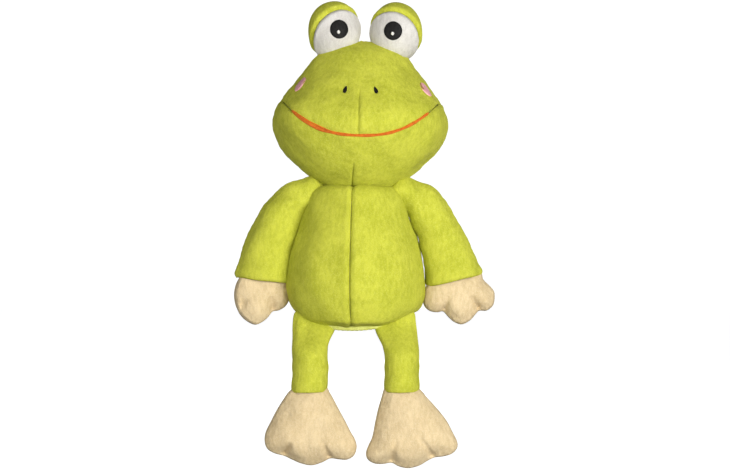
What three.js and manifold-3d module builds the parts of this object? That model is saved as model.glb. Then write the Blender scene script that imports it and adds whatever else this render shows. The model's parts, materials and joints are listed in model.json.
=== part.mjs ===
// A plush frog hand puppet, worked by a palm in the torso and fingers in the head.
// Millimetres, +Z up. The origin is the centre of the hand opening under the torso. The puppet faces -Y
// and its own left side is +X. Each limb end nests in the open end of the piece above it.
import * as THREE from "three";
import { mergeVertices } from "three/addons/utils/BufferGeometryUtils.js";
import Module from "manifold-3d";

const wasm = await Module();
wasm.setup();

// ---- driving dimensions ----
const GAP = 0.3; // left between pieces that touch
const SKIN = 1.8; // plush cloth with its pile
const CORE = SKIN + GAP; // depth of the stuffing below the outside
const STITCH = 1.1; // height of the satin stitching
const SIDES = [
  { name: "left", out: 1 },
  { name: "right", out: -1 },
];

// Torso: a pear of revolution, flattened front to back, as [radius, height] from hem to neck.
const TORSO = {
  y: -8,
  flat: 0.88,
  profile: [
    [40, 2.5],
    [49, 12.5],
    [53, 23],
    [53.2, 36],
    [50.6, 54],
    [45.6, 71],
    [38, 88],
    [30, 98.5],
    [22, 103.5],
  ],
};
const OPENING = { x: 40, y: 27 }; // half sizes of the hem's inner edge
const HEM = { thick: 3.4, low: -1.4 };
const LINING = {
  wall: 1.2,
  profile: [
    [38.5, 3],
    [39, 25],
    [37, 50],
    [31, 70],
    [21, 85],
    [15, 92],
  ],
  flatLow: 0.66,
  flatUpTo: 45,
  flatHigh: 1,
  fingerWay: 13.1, // radius of the way out for the fingers
};
const NECK = {
  y: -4,
  outer: 17.5,
  wall: 2.4,
  low: 103,
  high: 121,
  torsoHole: 21.3, // radius of the hole in the torso, with room for the neck to tilt
  torsoHoleFloor: 91.5, // where that hole meets the lining
  headHole: 19.3,
  headHoleRise: 1.5,
};

// Head: half width and height, then how deep it is in front and behind for its width.
const HEAD = {
  x: 2.4,
  y: -6,
  lean: THREE.MathUtils.degToRad(1),
  leanHeight: 114,
  profile: [
    [18, 113.5],
    [41, 124],
    [60, 142],
    [68, 155],
    [68.6, 165],
    [63.5, 180],
    [53, 194],
    [41, 209],
    [27, 220.5],
    [0, 227.5],
  ],
  front: 0.74,
  back: 0.77,
  snoutHeight: 163,
  snoutSpread: 26,
  snoutPush: 0.05,
};
const FINGER = { outer: 12.6, wall: 1.2, low: 124, high: 196 };
const SMILE = { middle: 151.5, rise: 19.5, half: 53.5, power: 2.45, width: 2.6 };
const NOSTRIL = { x: 11.9, z: 187.5, halfWide: 1.8, halfTall: 2.8, tilt: 0.35 };
const CHEEK = {
  at: { left: [50.4, -22, 189], right: [47.4, -22, 192.2] },
  halfLong: 6.8,
  halfWide: 4.4,
  normal: [0.66, -0.5, 0.56],
  cutLong: 60,
  cutBehind: 8,
};

const EYE = {
  x: { left: 27.3, right: 21.9 }, // outward from the head's middle
  y: -6,
  z: 236.6,
  radii: [20, 18.5, 23.4],
  // facing of the seam between white and lid, inward first
  lid: { left: [0.5, -1, -0.95], right: [0.75, -1, -0.93] },
  pupil: 7.2,
  pupilX: { left: -2.5, right: 4.1 },
  pupilZ: { left: -0.7, right: -0.2 },
  glint: 1.6,
  glintAt: [-0.8, -2.6], // from the pupil's centre
};

// Arm: a flared tube bent along an arc from the shoulder to the cuff, as [radius, distance along it].
const ARM = {
  shoulder: [46, 106],
  knee: [69, 88],
  cuff: { left: [80, 37], right: [75, 37] },
  y: -8,
  profile: [
    [0, -13],
    [9.2, -9.2],
    [13, 0],
    [15.5, 14],
    [16.6, 34],
    [19, 54],
    [22, 73],
  ],
  length: 76,
  open: 72.1, // the sleeve is cut off here, which opens it
  stuffedShare: 0.8, // the rest of its length leaves room for the hand
  flat: 0.7,
  wad: 9.6,
  wadRoom: 1, // the facets of the wad turn inside this
};
const HAND = {
  thick: 12.5,
  neckThick: 9.5,
  centre: [3, -9],
  outline: [
    [0, 7],
    [14, 7],
    [17, 0],
    [26, -4],
    [30.5, -12],
    [25, -23],
    [17.5, -22],
    [11, -31],
    [3.5, -34],
    [-4, -31],
    [-10, -22.5],
    [-19.5, -23.5],
    [-25, -14],
    [-17, 0],
    [-14, 7],
  ],
  twist: { left: 0, right: THREE.MathUtils.degToRad(33) },
};
const LEG = { x: 36.8, y: -36, top: -9, radius: 13, ankle: -49, open: -46, footRoom: 12 };
const FOOT = {
  thick: 13.2,
  neckThick: 9,
  centre: [2, -34], // outward from the middle toe, and up from the ankle
  // toe tips from the ankle, outward and up
  toes: {
    left: { outer: [42, -48], middle: [3, -63.5], inner: [-20, -59.5] },
    right: { outer: [34.5, -47], middle: [-1, -61], inner: [-33.5, -53] },
  },
};

const LIME = { color: 0xc9cf4f, roughness: 0.95 };
const CREAM = { color: 0xf0dcb0, roughness: 0.95 };
const WHITE = { color: 0xece4d6, roughness: 0.95 };
const BLACK = { color: 0x1c1a19, roughness: 0.5 };
const ORANGE = { color: 0xdb6a14, roughness: 0.5 };
const PINK = { color: 0xeda9bb, roughness: 0.6 };
const FIBRE = { color: 0xf2f0ea, roughness: 1 };
const TRICOT = { color: 0xb5c24e, roughness: 0.9 };

// Steps along each profile and facets around it.
const FACETS = {
  torso: [8, 22],
  lining: [6, 18],
  head: [10, 24],
  arm: [7, 14],
  eye: 14,
  wad: 12,
  rim: 20,
  leg: 16,
};

// ---- solids ----
function solidOf(geometry) {
  const bare = new THREE.BufferGeometry();
  const flat = geometry.index ? geometry.toNonIndexed() : geometry;
  bare.setAttribute("position", flat.getAttribute("position"));
  const merged = mergeVertices(bare, 1e-4);
  return new wasm.Manifold(
    new wasm.Mesh({
      numProp: 3,
      vertProperties: merged.attributes.position.array,
      triVerts: new Uint32Array(merged.index.array),
    }),
  );
}

function geometryOf(solid) {
  const made = solid.getMesh();
  const geometry = new THREE.BufferGeometry();
  geometry.setAttribute("position", new THREE.BufferAttribute(made.vertProperties, 3));
  geometry.setIndex(new THREE.BufferAttribute(made.triVerts, 1));
  geometry.computeVertexNormals();
  return geometry;
}

function warp(geometry, place) {
  const position = geometry.getAttribute("position");
  const point = new THREE.Vector3();
  for (let i = 0; i < position.count; i += 1) {
    place(point.fromBufferAttribute(position, i));
    position.setXYZ(i, point.x, point.y, point.z);
  }
  return geometry;
}

// A solid of revolution about Z from [radius, height] pairs that run from low to high.
function turned(profile, segments) {
  const points = profile.map(([r, z]) => new THREE.Vector2(r, z));
  return new THREE.LatheGeometry(points, segments).rotateX(Math.PI / 2);
}

// A smooth line through [radius, height] pairs, moved inwards by depth and closed on the axis.
function profileOf(pairs, steps, depth = 0) {
  const curve = new THREE.SplineCurve(pairs.map(([r, z]) => new THREE.Vector2(r, z)));
  const line = [];
  for (let i = 0; i <= steps; i += 1) {
    const point = curve.getPoint(i / steps);
    const along = curve.getTangent(i / steps);
    line.push([Math.max(point.x - depth * along.y, 0), point.y + depth * along.x]);
  }
  if (line[0][0] > 0) line.unshift([0, line[0][1]]);
  if (line[line.length - 1][0] > 0) line.push([0, line[line.length - 1][1]]);
  return line;
}

// Everything beyond a plane through a point, facing a direction.
function halfSpace(facing, point) {
  const reach = 900;
  const geometry = new THREE.BoxGeometry(reach, reach, reach).translate(0, 0, reach / 2);
  const up = new THREE.Vector3(0, 0, 1);
  const turn = new THREE.Quaternion().setFromUnitVectors(up, facing.clone().normalize());
  geometry.applyQuaternion(turn);
  geometry.translate(point.x, point.y, point.z);
  return solidOf(geometry);
}

function rod(radius, low, high, x, y, segments = 16) {
  const geometry = turned([[0, low], [radius, low], [radius, high], [0, high]], segments);
  return solidOf(geometry.translate(x, y, 0));
}

function ellipsoid(radii, centre, grow, segments) {
  const geometry = new THREE.SphereGeometry(1, segments, Math.round(segments * 0.6));
  geometry.rotateX(Math.PI / 2);
  geometry.scale(...radii.map((radius) => radius + grow));
  geometry.translate(...centre);
  return solidOf(geometry);
}

function mesh(name, finish, solid) {
  const material = new THREE.MeshStandardMaterial({ ...finish, metalness: 0 });
  const made = new THREE.Mesh(geometryOf(solid), material);
  made.name = name;
  return made;
}

// The two sides of a solid along one axis, with a seam gap between them at a given place.
function halves(solid, facing, point) {
  const towards = new THREE.Vector3(...facing).normalize();
  const at = new THREE.Vector3(...point);
  const over = at.clone().addScaledVector(towards, GAP / 2);
  const under = at.clone().addScaledVector(towards, -GAP / 2);
  const near = solid.intersect(halfSpace(towards, over));
  const far = solid.intersect(halfSpace(towards.clone().negate(), under));
  return [near, far];
}

// ---- torso ----
function torsoSolid(depth) {
  const [steps, around] = FACETS.torso;
  const geometry = turned(profileOf(TORSO.profile, steps, depth), around);
  return solidOf(geometry.scale(1, TORSO.flat, 1).translate(0, TORSO.y, 0));
}

// The lining's cloth is an ellipse at the hem and round where the fingers leave it.
function liningSolid(grow) {
  const high = LINING.profile[LINING.profile.length - 1][1];
  const [steps, around] = FACETS.lining;
  const geometry = turned(profileOf(LINING.profile, steps, -grow), around);
  warp(geometry, (p) => {
    const rise = THREE.MathUtils.smoothstep(p.z, LINING.flatUpTo, high);
    p.y *= THREE.MathUtils.lerp(LINING.flatLow, LINING.flatHigh, rise);
    p.y += NECK.y * rise;
  });
  return solidOf(geometry);
}

// A short upright plug with the lining's shape at the hem, that opens what it is cut from.
function openingPlug(grow) {
  const reach = 6;
  const [low] = LINING.profile;
  const across = low[0] + grow;
  const plug = turned([[0, -reach], [1, -reach], [1, reach], [0, reach]], FACETS.lining[1]);
  return solidOf(plug.scale(across, low[0] * LINING.flatLow + grow, 1));
}

function torsoMeshes() {
  const well = rod(NECK.torsoHole, NECK.torsoHoleFloor, NECK.high, 0, NECK.y);
  const hollow = liningSolid(GAP).add(openingPlug(GAP));
  const inner = torsoSolid(SKIN);
  const skin = torsoSolid(0).subtract(inner).subtract(well).subtract(hollow);
  const made = [];
  const [right, left] = halves(skin, [-1, 0, 0], [0, 0, 0]);
  for (const [side, solid] of [["left", left], ["right", right]]) {
    const [front, back] = halves(solid, [0, -1, 0], [0, TORSO.y, 0]);
    made.push(mesh(`torso_front_${side}_panel`, LIME, front));
    made.push(mesh(`torso_back_${side}_panel`, LIME, back));
  }
  const padding = torsoSolid(CORE).subtract(well).subtract(hollow);
  made.push(mesh("torso_padding", FIBRE, padding));

  const bore = liningSolid(-LINING.wall);
  const passage = rod(LINING.fingerWay, TORSO.profile[5][1], NECK.high, 0, NECK.y);
  const mouth = openingPlug(-LINING.wall - GAP);
  const lining = liningSolid(0).subtract(bore).subtract(passage).subtract(mouth);
  made.push(mesh("glove_lining", TRICOT, lining));

  const half = HEM.thick / 2;
  const middle = HEM.low + half;
  const section = [];
  const corners = 6;
  for (let i = 0; i <= corners; i += 1) {
    const angle = (i / corners) * 2 * Math.PI;
    section.push([OPENING.x + half + half * Math.cos(angle), middle + half * Math.sin(angle)]);
  }
  const hem = turned(section, FACETS.rim);
  hem.scale(1, OPENING.y / OPENING.x, 1);
  made.push(mesh("hem_binding", LIME, solidOf(hem)));
  return made;
}

function neckMesh() {
  const tube = rod(NECK.outer, NECK.low, NECK.high, 0, NECK.y, FACETS.rim);
  const bore = rod(NECK.outer - NECK.wall, NECK.low - 1, NECK.high + 1, 0, NECK.y, FACETS.rim);
  return mesh("neck_sleeve", LIME, tube.subtract(bore));
}

// ---- head ----
function headSolid(depth) {
  const [steps, around] = FACETS.head;
  const geometry = turned(profileOf(HEAD.profile, steps, depth), around);
  warp(geometry, (p) => {
    const fromSnout = (p.z - HEAD.snoutHeight) / HEAD.snoutSpread;
    const push = HEAD.snoutPush * Math.exp(-fromSnout * fromSnout);
    p.y *= p.y < 0 ? HEAD.front + push : HEAD.back;
    p.y += HEAD.y;
  });
  return solidOf(geometry);
}

// Height of the smile above its middle, which is also the seam between face and chin.
function smile(x) {
  return SMILE.middle + SMILE.rise * Math.pow(Math.abs(x) / SMILE.half, SMILE.power);
}

// A flat shape drawn in X and Z, made solid from far in front to the head's middle.
function facing(shape) {
  const deep = 90;
  const geometry = new THREE.ExtrudeGeometry(shape, { depth: deep, bevelEnabled: false });
  return solidOf(geometry.rotateX(Math.PI / 2).translate(0, HEAD.y, 0));
}

function oval(x, z, wide, tall, tilt) {
  const shape = new THREE.Shape();
  shape.absellipse(x, z, wide, tall, 0, 2 * Math.PI, false, tilt);
  const points = shape.getPoints(5);
  points.pop();
  return new THREE.Shape(points);
}

function eyePlace({ name, out }) {
  return [out * EYE.x[name], EYE.y, EYE.z];
}

function headMeshes() {
  const made = [];
  const below = 100;
  let sockets = rod(NECK.headHole, below, NECK.high + NECK.headHoleRise, -HEAD.x, NECK.y);
  for (const side of SIDES) {
    sockets = sockets.add(ellipsoid(EYE.radii, eyePlace(side), 2 * GAP, FACETS.eye));
  }
  const shell = headSolid(0).subtract(headSolid(SKIN)).subtract(sockets);
  const [front, back] = halves(shell, [0, -1, 0], [0, HEAD.y, 0]);

  const reach = 90;
  const faceSide = new THREE.Shape();
  const chinSide = new THREE.Shape();
  const top = 260;
  const bottom = 90;
  faceSide.moveTo(reach, top);
  faceSide.lineTo(-reach, top);
  chinSide.moveTo(reach, bottom);
  chinSide.lineTo(-reach, bottom);
  for (let x = -reach; x <= reach; x += 10) {
    faceSide.lineTo(x, smile(x) + GAP / 2);
    chinSide.lineTo(x, smile(x) - GAP / 2);
  }
  made.push(mesh("face_panel", LIME, front.intersect(facing(faceSide))));
  made.push(mesh("chin_panel", LIME, front.intersect(facing(chinSide))));
  const [backRight, backLeft] = halves(back, [-1, 0, 0], [0, 0, 0]);
  made.push(mesh("head_back_left_panel", LIME, backLeft));
  made.push(mesh("head_back_right_panel", LIME, backRight));

  const fingerHole = rod(FINGER.outer + GAP, below, FINGER.high + GAP, -HEAD.x, NECK.y);
  const stuffing = headSolid(CORE).subtract(sockets).subtract(fingerHole);
  made.push(mesh("head_stuffing", FIBRE, stuffing));
  const fingerOut = rod(FINGER.outer, FINGER.low, FINGER.high, -HEAD.x, NECK.y);
  const inside = FINGER.outer - FINGER.wall;
  const fingerIn = rod(inside, FINGER.low - 1, FINGER.high - FINGER.wall, -HEAD.x, NECK.y);
  made.push(mesh("head_finger_tube", TRICOT, fingerOut.subtract(fingerIn)));

  const stitchSkin = headSolid(-GAP - STITCH).subtract(headSolid(-GAP));
  const band = new THREE.Shape();
  const steps = 9;
  for (let i = -steps; i <= steps; i += 1) {
    const x = (i / steps) * SMILE.half;
    const half = (SMILE.width / 2) * Math.sqrt(1.04 - (i / steps) ** 2);
    band[i === -steps ? "moveTo" : "lineTo"](x, smile(x) + half);
  }
  for (let i = steps; i >= -steps; i -= 1) {
    const x = (i / steps) * SMILE.half;
    const half = (SMILE.width / 2) * Math.sqrt(1.04 - (i / steps) ** 2);
    band.lineTo(x, smile(x) - half);
  }
  made.push(mesh("mouth_embroidery", ORANGE, stitchSkin.intersect(facing(band))));

  for (const { name, out } of SIDES) {
    const { x, z, halfWide, halfTall, tilt } = NOSTRIL;
    const nostril = facing(oval(out * x, z, halfWide, halfTall, out * tilt));
    made.push(mesh(`nostril_${name}`, BLACK, stitchSkin.intersect(nostril)));
    const normal = new THREE.Vector3(out * CHEEK.normal[0], CHEEK.normal[1], CHEEK.normal[2]);
    const [cheekX, cheekY, cheekZ] = CHEEK.at[name];
    const { cutLong, cutBehind } = CHEEK;
    const spread = new THREE.CylinderGeometry(1, 1, cutLong, FACETS.eye).rotateX(Math.PI / 2);
    spread.translate(0, 0, cutLong / 2 - cutBehind).scale(CHEEK.halfWide, CHEEK.halfLong, 1);
    const forward = new THREE.Vector3(0, 0, 1);
    const turn = new THREE.Quaternion().setFromUnitVectors(forward, normal.normalize());
    spread.applyQuaternion(turn);
    spread.translate(out * cheekX, cheekY, cheekZ);
    made.push(mesh(`cheek_${name}_patch`, PINK, stitchSkin.intersect(solidOf(spread))));
  }
  return made;
}

function eyeMeshes(side) {
  const { name, out } = side;
  const centre = eyePlace(side);
  const ball = (grow) => ellipsoid(EYE.radii, centre, grow, FACETS.eye);
  const [inward, forward, down] = EYE.lid[name];
  const [white, lid] = halves(ball(0).subtract(ball(-SKIN)), [-out * inward, forward, down], centre);
  const made = [
    mesh(`eye_${name}_white_panel`, WHITE, white),
    mesh(`eye_${name}_lid_panel`, LIME, lid),
    mesh(`eye_${name}_stuffing`, FIBRE, ball(-CORE)),
  ];
  const x = centre[0] + EYE.pupilX[name];
  const z = centre[2] + EYE.pupilZ[name];
  const pupil = ball(GAP + STITCH).subtract(ball(GAP));
  const disc = facing(oval(x, z, EYE.pupil, EYE.pupil, 0));
  made.push(mesh(`eye_${name}_pupil`, BLACK, pupil.intersect(disc)));
  const glint = ball(2 * GAP + 2 * STITCH).subtract(ball(2 * GAP + STITCH));
  const [glintX, glintZ] = EYE.glintAt;
  const dot = facing(oval(x + glintX, z + glintZ, EYE.glint, EYE.glint, 0));
  made.push(mesh(`eye_${name}_glint`, WHITE, glint.intersect(dot)));
  return made;
}

// ---- limbs ----
function armCurve({ name, out }) {
  const at = ([x, z]) => new THREE.Vector3(out * x, ARM.y, z);
  return new THREE.QuadraticBezierCurve3(at(ARM.shoulder), at(ARM.knee), at(ARM.cuff[name]));
}

// The sleeve's tube, turned straight and then bent along the arm, open at the cuff.
function armSolid(side, depth) {
  const curve = armCurve(side);
  const [steps, around] = FACETS.arm;
  const geometry = turned(profileOf(ARM.profile, steps, depth), around);
  warp(geometry, (p) => {
    const along = THREE.MathUtils.clamp(p.z / ARM.length, 0, 1);
    const over = p.z - along * ARM.length;
    const centre = curve.getPointAt(along);
    const tangent = curve.getTangentAt(along);
    const flat = THREE.MathUtils.lerp(1, ARM.flat, THREE.MathUtils.smoothstep(along, 0, 1));
    const across = new THREE.Vector3(-tangent.z, 0, tangent.x);
    const { x, y } = p;
    p.copy(centre).addScaledVector(tangent, over).addScaledVector(across, x);
    p.y -= y * flat;
  });
  return solidOf(geometry);
}

function armMeshes(side) {
  const { name } = side;
  const curve = armCurve(side);
  const shoulder = curve.getPointAt(0);
  const ball = (grow) => ellipsoid([ARM.wad, ARM.wad, ARM.wad], shoulder.toArray(), grow, FACETS.wad);
  const cuffRoom = halfSpace(curve.getTangentAt(1), curve.getPointAt(ARM.stuffedShare));
  const mouth = halfSpace(curve.getTangentAt(1), curve.getPointAt(ARM.open / ARM.length));
  const shell = armSolid(side, 0).subtract(armSolid(side, SKIN));
  const [front, back] = halves(shell.subtract(mouth), [0, -1, 0], [0, ARM.y, 0]);
  const above = halfSpace(curve.getTangentAt(0).negate(), shoulder);
  const stuffing = armSolid(side, CORE).subtract(above).subtract(ball(ARM.wadRoom))
    .subtract(cuffRoom);
  return [
    mesh(`arm_${name}_top_stuffing`, FIBRE, ball(0)),
    mesh(`arm_${name}_sleeve_front_panel`, LIME, front),
    mesh(`arm_${name}_sleeve_back_panel`, LIME, back),
    mesh(`arm_${name}_stuffing`, FIBRE, stuffing),
  ];
}

// A stuffed bag with a flat outline in X and Z: thin at its neck, full at its middle.
function pillow(outline, centre, { thick, neckThick }, depth) {
  const segments = FACETS.rim;
  const loop = outline.map(([x, z]) => new THREE.Vector3(x, 0, z));
  const curve = new THREE.CatmullRomCurve3(loop, true, "centripetal");
  const edge = curve.getSpacedPoints(segments);
  const geometry = new THREE.SphereGeometry(1, segments, 6);
  return warp(geometry, (p) => {
    const turn = Math.atan2(p.z, -p.x) / (2 * Math.PI) + 0.5;
    const rim = edge[Math.round(turn * segments) % segments];
    const spoke = new THREE.Vector2(rim.x - centre[0], rim.z - centre[1]);
    const inset = (spoke.length() - depth) / spoke.length();
    const reach = Math.pow(Math.hypot(p.x, p.z), 0.8) * inset;
    const z = centre[1] + spoke.y * reach;
    const full = THREE.MathUtils.smoothstep(-z, -4, 22);
    const half = THREE.MathUtils.lerp(neckThick, thick, full) - depth;
    p.set(centre[0] + spoke.x * reach, p.y * half, z);
  });
}

function endMeshes(kind, names, outline, centre, sizes, place) {
  const [outer, inner, core] = [0, SKIN, CORE].map((depth) =>
    solidOf(pillow(outline, centre, sizes, depth)),
  );
  const [front, back] = halves(outer.subtract(inner), [0, -1, 0], [0, 0, 0]);
  const group = new THREE.Group();
  group.add(mesh(`${kind}_${names[0]}`, CREAM, front));
  group.add(mesh(`${kind}_${names[1]}`, CREAM, back));
  group.add(mesh(`${kind}_stuffing`, FIBRE, core));
  place(group);
  return group;
}

// Outlines are drawn outward first, so the right side's are mirrored and run backwards.
function outlineFor(out, points) {
  const turned = points.map(([x, z]) => [out * x, z]);
  return out > 0 ? turned : turned.reverse();
}

function handGroup(side) {
  const { name, out } = side;
  const wrist = armCurve(side).getPointAt(1);
  const centre = [out * HAND.centre[0], HAND.centre[1]];
  return endMeshes(
    `hand_${name}`, ["back_panel", "palm_panel"], outlineFor(out, HAND.outline), centre, HAND,
    (group) => {
      group.position.copy(wrist);
      group.rotation.z = HAND.twist[name];
    },
  );
}

function footOutline({ outer, middle, inner }) {
  const web = (a, b, pull) => [(a[0] + b[0]) / 2, ((a[1] + b[1]) / 2) + pull];
  return [
    [0, 7],
    [7.5, 6.5],
    [9.5, 0],
    [16, -9],
    [outer[0] - 6, outer[1] + 18],
    [outer[0], outer[1] + 7],
    [outer[0] - 4, outer[1]],
    web(outer, middle, 3),
    [middle[0] + 7, middle[1] + 1.5],
    middle,
    [middle[0] - 7, middle[1] + 1.5],
    web(inner, middle, 4),
    [inner[0] + 4, inner[1] - 0.5],
    [inner[0] - 1, inner[1] + 6],
    [inner[0] + 4, inner[1] + 20],
    [-14, -9],
    [-9.5, 0],
    [-7.5, 6.5],
  ];
}

function footGroup({ name, out }) {
  const outline = outlineFor(out, footOutline(FOOT.toes[name]));
  const middle = FOOT.toes[name].middle[0] + FOOT.centre[0];
  return endMeshes(
    `foot_${name}`, ["top_panel", "sole_panel"], outline, [out * middle, FOOT.centre[1]], FOOT,
    (group) => group.position.set(out * LEG.x, LEG.y, LEG.ankle),
  );
}

// A tube that hangs from a ball at the hem and is open at the ankle.
function legSolid(out, depth, low) {
  const radius = LEG.radius - depth;
  const line = [[0, low], [radius, low], [radius, LEG.top]];
  const domeSteps = 4;
  for (let i = 1; i <= domeSteps; i += 1) {
    const angle = (i / domeSteps) * (Math.PI / 2);
    line.push([radius * Math.cos(angle), LEG.top + radius * Math.sin(angle)]);
  }
  line[line.length - 1][0] = 0;
  return solidOf(turned(line, FACETS.leg).translate(out * LEG.x, LEG.y, 0));
}

function legMeshes({ name, out }) {
  const skin = legSolid(out, 0, LEG.open).subtract(legSolid(out, SKIN, LEG.ankle));
  return [
    mesh(`leg_${name}_skin`, LIME, skin),
    mesh(`leg_${name}_stuffing`, FIBRE, legSolid(out, CORE, LEG.open + LEG.footRoom)),
  ];
}

// ---- assembly ----
const puppet = new THREE.Group();
puppet.name = "frog_hand_puppet";
puppet.add(...torsoMeshes(), neckMesh());

// The head sits a little askew on the neck, leaning to its own left.
const head = new THREE.Group();
head.position.z = HEAD.leanHeight;
head.rotation.y = HEAD.lean;
const upright = new THREE.Group();
upright.position.set(HEAD.x, 0, -HEAD.leanHeight);
upright.add(...headMeshes());
for (const side of SIDES) upright.add(...eyeMeshes(side));
head.add(upright);
puppet.add(head);

for (const side of SIDES) {
  puppet.add(...armMeshes(side), handGroup(side));
  puppet.add(...legMeshes(side), footGroup(side));
}

export default puppet;
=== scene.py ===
"""A plush frog hand puppet: its cloth skins, stitching and stuffing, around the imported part.

Lengths in this script are millimetres, and are turned into metres where a mesh is made.
"""
import json
import math

import bmesh
import bpy
import numpy as np
from mathutils import Matrix, Vector
from mathutils.bvhtree import BVHTree

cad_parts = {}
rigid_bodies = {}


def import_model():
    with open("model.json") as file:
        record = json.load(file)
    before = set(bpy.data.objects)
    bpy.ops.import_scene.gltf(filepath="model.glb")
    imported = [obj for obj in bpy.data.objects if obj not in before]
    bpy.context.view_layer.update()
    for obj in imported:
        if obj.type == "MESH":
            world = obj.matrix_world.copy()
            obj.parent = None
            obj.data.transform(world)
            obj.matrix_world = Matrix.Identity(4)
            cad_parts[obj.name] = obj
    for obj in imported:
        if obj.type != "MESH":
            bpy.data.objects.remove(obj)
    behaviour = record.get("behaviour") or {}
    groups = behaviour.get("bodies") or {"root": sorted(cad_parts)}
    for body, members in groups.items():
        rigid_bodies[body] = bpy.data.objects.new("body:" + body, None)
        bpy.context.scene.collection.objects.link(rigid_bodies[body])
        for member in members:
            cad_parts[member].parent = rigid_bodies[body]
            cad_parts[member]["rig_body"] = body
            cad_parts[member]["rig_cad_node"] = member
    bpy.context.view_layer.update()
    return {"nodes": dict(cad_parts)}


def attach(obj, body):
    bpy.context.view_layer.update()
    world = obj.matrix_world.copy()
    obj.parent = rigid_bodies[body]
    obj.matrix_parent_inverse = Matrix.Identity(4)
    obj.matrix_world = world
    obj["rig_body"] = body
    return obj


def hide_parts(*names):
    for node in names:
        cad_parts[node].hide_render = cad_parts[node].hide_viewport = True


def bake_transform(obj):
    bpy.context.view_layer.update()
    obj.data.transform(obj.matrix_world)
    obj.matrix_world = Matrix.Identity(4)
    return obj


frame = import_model()

MM = 0.001
FULL_TURN = 2 * math.pi
SIDES = (("left", 1), ("right", -1))

# ---- driving dimensions ----
CLOTH = 1.4  # plush cloth
SEAM_DEPTH = 1.5  # how far a seam pulls the cloth in
SEAM_WIDTH = 1.7
SEAM_SHOULDER = (0.35, 3.6, 2.2)  # the rise beside a seam: share of its depth, how far off, how wide
SEAM_PUCKER = 0.16  # share of the depth
AWAY = (0, 1, 0)  # from the viewer into the puppet

TORSO_Y = -8
TORSO_FLAT = 0.88
TORSO_TURN = math.radians(-5)  # the torso's seams are turned a little about Z
TORSO_PROFILE = (
    (41.6, 1.2), (43.8, 4.8), (47.6, 10), (52, 18), (54.6, 27), (55, 37), (53, 54), (48.7, 71),
    (43.6, 86), (40.4, 97), (37.8, 104.5), (34.6, 109.8), (30, 112.6), (24.5, 113.6), (19.5, 113.8),
)
HEM_HALF = (41.6, 28.8)
RIM_HEIGHT = 4.6  # below this the torso narrows front to back towards the hem
HEM_LIFT = {"left": 7.5, "right": 4.5}  # the hem sits higher at the sides
HEM_LIFT_FADE = 8.5
HEM_BAND_Z = 1.5
HEM_BAND_HALF = (2.1, 2.5)  # half its thickness and half its height
HEM_RADIUS = 36  # roughly; it turns an angle round the hem into a length
LINING_LINE = ((37.8, 2.2), (38.3, 25), (36.4, 50), (30.5, 70), (20.5, 85), (14.2, 91.5))
LINING_FLAT = 0.66
NECK_Y = -4
NECK_LINE = ((16.5, 104.5), (17.6, 108), (16.6, 113), (17.4, 120))
FINGER_LINE = ((11.9, 124.3), (12.1, 150), (12, 184), (9.5, 193.5), (4, 195.4), (0.3, 195.6))

HEAD_X = 2.4
HEAD_Y = -6
HEAD_LEAN = math.radians(1)
HEAD_PIVOT_Z = 114
HEAD_PROFILE = (
    (17.5, 111.6), (24, 112.2), (33, 116.4), (43, 123), (53, 132.4), (61, 141.2), (66.6, 150),
    (69.4, 158), (69.6, 166), (66.6, 175), (60.4, 184.5), (53, 194), (45.2, 203),
    (38.8, 212), (32, 219), (21, 224.4), (10, 227), (0.4, 227.8),
)
HEAD_FRONT = 0.74  # depth of the head's front half, as a share of its half width
HEAD_BACK = 0.775
HEAD_SWELLS = ((164, 22, 0.075), (128, 16, 0.03), (222, 14, -0.08))  # height, reach, added to HEAD_FRONT
BROW = (2.2, 30, 14, 216, 12)  # rise of the brow on one side, then its x, reach, height and reach
CHEEK_SWELL = (1.6, 49, 174, 9)  # rise of each cheek, its distance from the middle, height and reach
DARTS = {"face": (-1.0, 0.0, (149, 190)), "chin": (-5.4, 0.06, (106, 131))}  # x, slope, ends
HEAD_DART_FOOT = 113  # the height where a sloping dart is at its own x
DART_DEPTH = 0.45
DART_SLIT = (1.5, 0.5)  # depth and half width of the slit between two sewn edges
SMILE_Z = 151.5
SMILE_RISE = 19.5
SMILE_HALF = 53.5
SMILE_POWER = 2.45
NOSTRIL_AT = (11.9, 187.5)
CHEEK_AT = {"left": (50.4, 189.0), "right": (47.4, 192.2)}

EYE_HALF = (21, 19, 23.7)
EYE_OUT = {"left": 27.3, "right": 21.9}
EYE_Y = -6
EYE_Z = 236.8
LID_SEAM = {"left": (-0.36, -1, -0.86), "right": (0.62, -1, -0.85)}  # facing of the white
LID_SPLIT = 0.455  # share of the half turn from that facing to the lid's seam
PUPIL_RADIUS = 7.2
PUPIL_AT = {"left": (-2.5, -0.7), "right": (4.1, -0.2)}

ARM_Y = -8
ARM_CURVE = {"left": ((46, 106), (69, 88), (80, 37)), "right": ((46, 106), (69, 88), (75, 37))}
ARM_LENGTH = 76
ARM_PROFILE = (
    (0.3, -15.6), (7.6, -14), (12.2, -8.5), (13.6, 0), (15.2, 10), (16.7, 22), (17.6, 36), (19.3, 50),
    (21.4, 64), (22.6, 72), (22.3, 75),
)
ARM_TUCK = {"left": 5.0, "right": 9.0}  # how far the arm's top leans in under the chin
ARM_CLOSE = {"left": 1.5, "right": 0.6}  # how much closer to the belly its lower part hangs
ARM_FLAT = 0.72

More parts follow.
